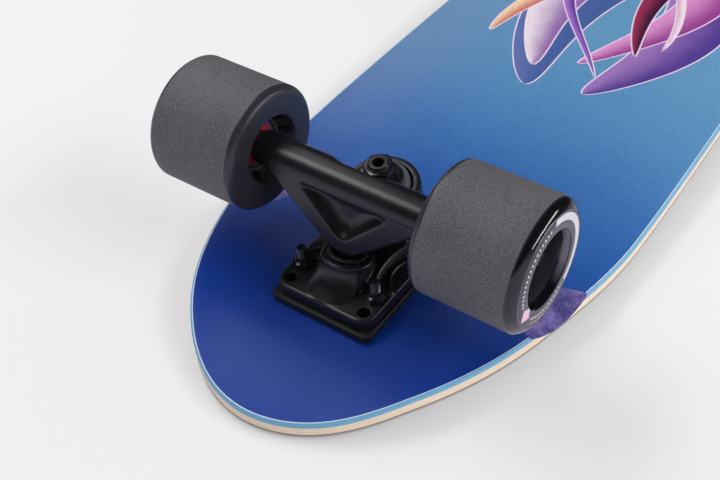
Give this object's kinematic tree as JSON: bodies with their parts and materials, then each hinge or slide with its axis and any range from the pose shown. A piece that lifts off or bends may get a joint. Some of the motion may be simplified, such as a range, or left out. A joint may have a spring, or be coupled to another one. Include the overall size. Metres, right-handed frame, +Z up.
{
  "type": "cruiser skateboard",
  "caption": "Cruiser skateboard lying wheels up: pressed ply deck with a kicked tail and grip tape, sprung steering trucks, and wide soft wheels on ball bearings.",
  "frame": {"origin": "middle of the bounding box on the ground; the board lies upside down on its nose and tail tip", "axes": "+X along the board from the nose to the kicked tail, +Y across it, +Z up through the upturned wheels"},
  "size_m": [0.718, 0.1958, 0.1257],
  "materials": {
    "ply": "printed and lacquered",
    "grip": "abrasive",
    "riser": "satin",
    "casting": "black powder coat",
    "blackened_steel": "blackened",
    "steel": "bright",
    "bushing": "satin",
    "cup_rubber": "matte",
    "urethane": "fresh tread, gloss lips",
    "bearing_seal": "satin"
  },
  "bodies": {
    "board": {"deck": "ply", "grip_tape": "grip", "front_riser_pad": "riser", "front_baseplate": "casting", "front_pivot_cup": "cup_rubber", "front_kingpin": "blackened_steel", "front_boardside_washer": "blackened_steel", "front_boardside_bushing": "bushing", "front_roadside_bushing": "bushing", "front_roadside_washer": "blackened_steel", "front_kingpin_nut": "blackened_steel", "front_mounting_bolt_1": "blackened_steel", "front_mounting_bolt_2": "blackened_steel", "front_mounting_bolt_3": "blackened_steel", "front_mounting_bolt_4": "blackened_steel", "front_mounting_nut_1": "blackened_steel", "front_mounting_nut_2": "blackened_steel", "front_mounting_nut_3": "blackened_steel", "front_mounting_nut_4": "blackened_steel", "rear_riser_pad": "riser", "rear_baseplate": "casting", "rear_pivot_cup": "cup_rubber", "rear_kingpin": "blackened_steel", "rear_boardside_washer": "blackened_steel", "rear_boardside_bushing": "bushing", "rear_roadside_bushing": "bushing", "rear_roadside_washer": "blackened_steel", "rear_kingpin_nut": "blackened_steel", "rear_mounting_bolt_1": "blackened_steel", "rear_mounting_bolt_2": "blackened_steel", "rear_mounting_bolt_3": "blackened_steel", "rear_mounting_bolt_4": "blackened_steel", "rear_mounting_nut_1": "blackened_steel", "rear_mounting_nut_2": "blackened_steel", "rear_mounting_nut_3": "blackened_steel", "rear_mounting_nut_4": "blackened_steel"},
    "front_hanger_set": {"front_hanger": "casting", "front_axle": "steel", "front_spacer_left": "steel", "front_spacer_right": "steel", "front_axle_nut_left": "steel", "front_axle_nut_right": "steel"},
    "front_left_wheel_set": {"front_wheel_left": "urethane", "front_bearing_left_inner": "bearing_seal", "front_bearing_left_outer": "bearing_seal"},
    "front_right_wheel_set": {"front_wheel_right": "urethane", "front_bearing_right_inner": "bearing_seal", "front_bearing_right_outer": "bearing_seal"},
    "rear_hanger_set": {"rear_hanger": "casting", "rear_axle": "steel", "rear_spacer_left": "steel", "rear_spacer_right": "steel", "rear_axle_nut_left": "steel", "rear_axle_nut_right": "steel"},
    "rear_left_wheel_set": {"rear_wheel_left": "urethane", "rear_bearing_left_inner": "bearing_seal", "rear_bearing_left_outer": "bearing_seal"},
    "rear_right_wheel_set": {"rear_wheel_right": "urethane", "rear_bearing_right_inner": "bearing_seal", "rear_bearing_right_outer": "bearing_seal"}
  },
  "joints": [
    {"name": "front_steer", "type": "hinge", "parent": "board", "child": "front_hanger_set", "pos_m": [-0.27965, 0, 0.03303], "axis": [0.8146, 0, 0.58], "range_deg": [-15, 15], "stiffness_Nm_per_rad": 20, "deforming": ["front_boardside_bushing", "front_roadside_bushing"]},
    {"name": "front_left_spin", "type": "hinge", "parent": "front_hanger_set", "child": "front_left_wheel_set", "pos_m": [-0.27067, 0.0713, 0.07467], "axis": [0, 1, 0], "continuous": true},
    {"name": "front_right_spin", "type": "hinge", "parent": "front_hanger_set", "child": "front_right_wheel_set", "pos_m": [-0.27067, -0.0713, 0.07467], "axis": [0, 1, 0], "continuous": true},
    {"name": "rear_steer", "type": "hinge", "parent": "board", "child": "rear_hanger_set", "pos_m": [0.20968, 0, 0.05454], "axis": [-0.8624, 0, 0.5063], "range_deg": [-15, 15], "stiffness_Nm_per_rad": 20, "deforming": ["rear_boardside_bushing", "rear_roadside_bushing"]},
    {"name": "rear_left_spin", "type": "hinge", "parent": "rear_hanger_set", "child": "rear_left_wheel_set", "pos_m": [0.19708, 0.0713, 0.09523], "axis": [0, 1, 0], "continuous": true},
    {"name": "rear_right_spin", "type": "hinge", "parent": "rear_hanger_set", "child": "rear_right_wheel_set", "pos_m": [0.19708, -0.0713, 0.09523], "axis": [0, 1, 0], "continuous": true}
  ]
}
